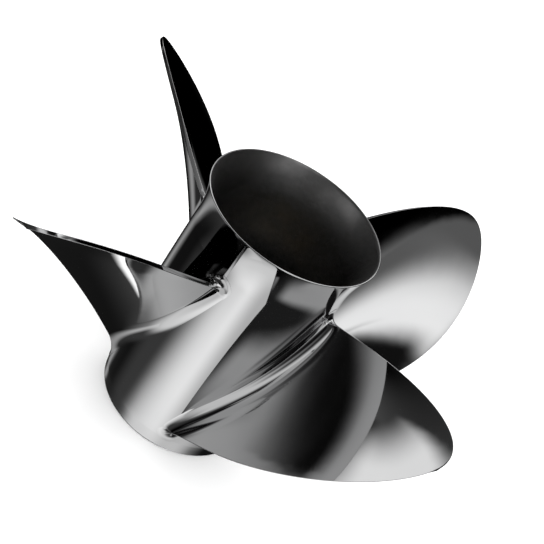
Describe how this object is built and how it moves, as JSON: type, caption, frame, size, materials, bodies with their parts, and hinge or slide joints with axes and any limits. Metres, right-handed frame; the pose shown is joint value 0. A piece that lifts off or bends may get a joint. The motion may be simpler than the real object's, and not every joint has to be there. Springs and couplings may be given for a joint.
{
  "type": "boat propeller with through-hub exhaust",
  "caption": "Right-hand polished stainless steel propeller with swept blades on a hollow flared hub, ribs to an inner hub, and a sleeve with a splined bore.",
  "frame": {"origin": "on the shaft axis, in the plane of the nose face that stands on the floor", "axes": "+Z along the shaft axis from the nose, its forward end, to the flared rim, its aft end; +X and +Y lie along two of the exhaust passages"},
  "size_m": [0.3006, 0.3006, 0.1803],
  "materials": {
    "polished_steel": "mirror-polished stainless steel",
    "cast_steel": "stainless steel as cast and blasted, darkened inside the exhaust passage",
    "sleeve_polymer": "moulded black engineering plastic",
    "adapter_brass": "machined brass"
  },
  "bodies": {
    "root": {"outer_hub": "polished_steel", "diffuser_ring": "polished_steel", "inner_hub": "cast_steel", "rib_1": "cast_steel", "rib_2": "cast_steel", "rib_3": "cast_steel", "rib_4": "cast_steel", "blade_1": "polished_steel", "blade_2": "polished_steel", "blade_3": "polished_steel", "blade_4": "polished_steel", "drive_sleeve": "sleeve_polymer", "spline_adapter": "adapter_brass"}
  },
  "joints": []
}
